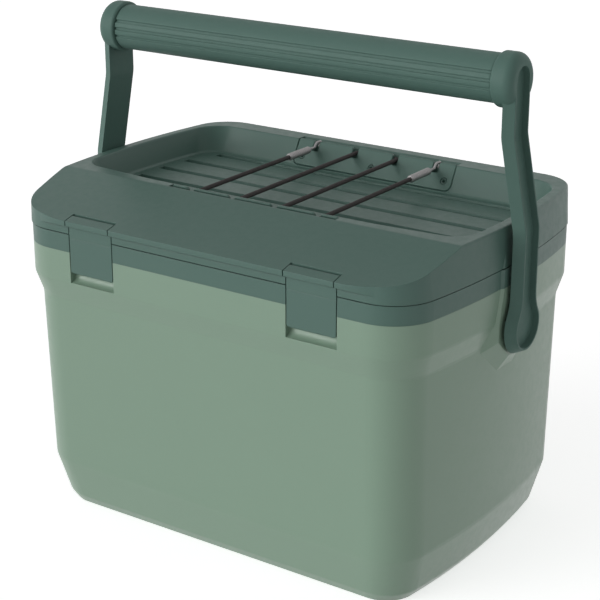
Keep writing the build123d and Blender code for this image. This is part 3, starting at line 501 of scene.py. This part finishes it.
# The ferrule with its squeezed rings, and the wire that leaves it, bends up into the plate's slot
# and hooks down behind the plate. The wire's corners are (y, z); the profile is (length, radius).
FERRULE_GREY = (0.36, 0.35, 0.35)
WIRE_CORNERS = np.array([(0.078, CORD_HEIGHT), (0.1205, CORD_HEIGHT), (0.1240, 0.3009),
                         (0.1312, 0.3009), (0.1281, 0.2955)])
FERRULE_LENGTH, WIRE_RADIUS, WIRE_END, WIRE_END_RADIUS = 0.0315, 0.0013, 0.0008, 0.0007
FERRULE_PROFILE = [(0.0, 0.0027), (0.0003, 0.0031), (0.0009, 0.0034), (FERRULE_LENGTH, 0.0034),
                   (0.0327, 0.0029), (0.0350, 0.0016), (0.0365, WIRE_RADIUS)]
SQUEEZE_PITCH, SQUEEZE_DEPTH, SQUEEZE_FADE, SQUEEZE_TWIST = 0.0028, 0.00055, 0.0010, 0.9
PATH_STEP, BEND_STEPS, FERRULE_SIDES = 0.00015, 17, 44
ferrule = metal("crushed_ferrule", FERRULE_GREY, line_mm=0.9, rough=(0.42, 0.58), depth=0.00018,
                metallic=0.5)


def ferrule_rings(x):
    """Rings round a path in the plane x: p(s) + r (cos a X + sin a T x X), with T the way along.

    The path is the wire's corners smoothed by a moving mean. r(s, a) follows the profile, less
    depth (1 + cos(tau s / pitch + twist sin 2a)) / 2 on the ferrule.
    """
    reach = np.linalg.norm(np.diff(WIRE_CORNERS, axis=0), axis=1)
    reach = np.concatenate([[0.0], np.cumsum(reach)])
    s = np.arange(0.0, reach[-1], PATH_STEP)
    path = np.stack([np.interp(s, reach, corner) for corner in WIRE_CORNERS.T], axis=-1)
    half = BEND_STEPS // 2
    padded = np.pad(path, ((half, half), (0, 0)), mode="reflect", reflect_type="odd")
    window = np.ones(BEND_STEPS) / BEND_STEPS
    path = np.stack([np.convolve(line, window, mode="valid") for line in padded.T], axis=-1)
    tangent = np.gradient(path, axis=0)
    tangent /= np.linalg.norm(tangent, axis=1)[:, None]
    profile = FERRULE_PROFILE + [(s[-1] - WIRE_END, WIRE_RADIUS), (s[-1], WIRE_END_RADIUS)]
    radius = np.interp(s, *np.array(profile).T)
    from_ends = np.minimum(s - SQUEEZE_FADE, FERRULE_LENGTH - s)
    squeezed = np.clip(from_ends / SQUEEZE_FADE, 0.0, 1.0)
    a = np.linspace(0.0, math.tau, FERRULE_SIDES, endpoint=False)
    wave = np.cos(math.tau * s[:, None] / SQUEEZE_PITCH + SQUEEZE_TWIST * np.sin(2 * a))
    r = radius[:, None] - SQUEEZE_DEPTH * squeezed[:, None] * (0.5 + 0.5 * wave)
    rings = np.empty((len(s), FERRULE_SIDES, 3))
    rings[..., 0] = x + r * np.cos(a)
    rings[..., 1] = path[:, :1] + r * np.sin(a) * tangent[:, 1:]
    rings[..., 2] = path[:, 1:] - r * np.sin(a) * tangent[:, :1]
    return rings


for side, x in (("left", -1.5 * STRAND_PITCH), ("right", 1.5 * STRAND_PITCH)):
    solid_of_rings(f"ferrule_{side}", ferrule_rings(x), ferrule, "lid", "end_fitting",
                   f"cord_end_{side}")

# ------------------------------------------------------------------ latches and their pins
# Each latch is one dark green moulding that hangs from a steel pin across its pocket in the lid. A
# fine crease marks where its plate meets the knuckle.
finish_with(dark_plastic, "latch_left", "latch_right")
drawn_wire = metal("drawn_wire", STEEL, stretch=(0.04, 1, 1), line_mm=0.10, rough=(0.22, 0.34))
finish_with(drawn_wire, "latch_pin_left", "latch_pin_right")

# ------------------------------------------------------------------ rear hinges
# Two leaf hinges of the lid's plastic with a steel pin through their knuckles. Countersunk screws
# with a black coating hold them to the collar and the lid.
BLACK_COAT = (0.020, 0.022, 0.022)
black_screw = metal("black_coated_screw", BLACK_COAT, line_mm=0.3, rough=(0.35, 0.45),
                    depth=0.000006, metallic=0.4)
for side in ("left", "right"):
    finish_with(drawn_wire, f"hinge_pin_{side}")
    for leaf in ("lid", "body"):
        finish_with(dark_plastic, f"hinge_{leaf}_leaf_{side}")
        finish_with(black_screw, f"hinge_screw_{leaf}_{side}_1", f"hinge_screw_{leaf}_{side}_2")

# ------------------------------------------------------------------ handle
# Two moulded arms with an open channel down their outer face turn on the pivot studs. An aluminium
# tube joins them, and the long grip with its three grooves is slid over it.
HANDLE_GREEN = (0.088, 0.163, 0.138)
handle_plastic = plastic("handle_plastic", HANDLE_GREEN, rough=(0.54, 0.62), shine=0.26)
finish_with(handle_plastic, "handle_arm_left", "handle_arm_right")
tube_metal = metal("grip_tube", ALUMINIUM, stretch=(0.05, 1, 1), rough=(0.35, 0.5))
finish_with(tube_metal, "grip_core")

# The grip's grooves run its whole length, into the arm heads. Its centre is (y, z), the grooves'
# angles are degrees above the front horizontal, and a rim is (distance from the end, radius less).
GRIP_CENTRE, GRIP_RADIUS, GRIP_HALF, GRIP_BORE = (0.004, 0.4168), 0.0200, 0.1908, 0.00902
GROOVE_ANGLES, GROOVE_WIDTH, GROOVE_DEPTH, GROOVE_WALL = (24.0, 4.0, -16.0), 0.0026, 0.0015, 0.00035
GRIP_RIMS, STRAIGHT_FROM = [(0.0, 0.0005), (0.00015, 0.00018), (0.0005, 0.0)], 0.002
GRIP_SIDES, GRIP_STATIONS = 900, 24


def grip_rings():
    """Rings along X: (x, yc - r cos a, zc + r sin a), where r is the grip's radius less the depth of a
    groove times a smooth step across its two walls, and the bore's radius at both ends."""
    a = np.linspace(-math.pi, math.pi, GRIP_SIDES, endpoint=False)
    groove = np.zeros(GRIP_SIDES)
    for angle in GROOVE_ANGLES:
        from_middle = np.abs(a - math.radians(angle)) * GRIP_RADIUS
        step = np.clip((GROOVE_WIDTH / 2 - from_middle) / GROOVE_WALL + 0.5, 0.0, 1.0)
        groove = np.maximum(groove, step * step * (3.0 - 2.0 * step))
    outline = GRIP_RADIUS - GROOVE_DEPTH * groove
    ends = [(GRIP_HALF, np.full(GRIP_SIDES, GRIP_BORE))]
    ends += [(GRIP_HALF - inwards, outline - less) for inwards, less in GRIP_RIMS]
    reach = GRIP_HALF - STRAIGHT_FROM
    straight = [(x, outline) for x in np.linspace(-reach, reach, GRIP_STATIONS)]
    stations = [(-x, r) for x, r in ends] + straight + ends[::-1]
    x = np.array([x for x, _ in stations])[:, None]
    r = np.array([r for _, r in stations])
    rings = np.empty((len(stations), GRIP_SIDES, 3))
    rings[..., 0] = x
    rings[..., 1] = GRIP_CENTRE[0] - r * np.cos(a)
    rings[..., 2] = GRIP_CENTRE[1] + r * np.sin(a)
    return rings


solid_of_rings("grip_sleeve", grip_rings(), handle_plastic, "handle", "lid_plastic", "handle_grip")
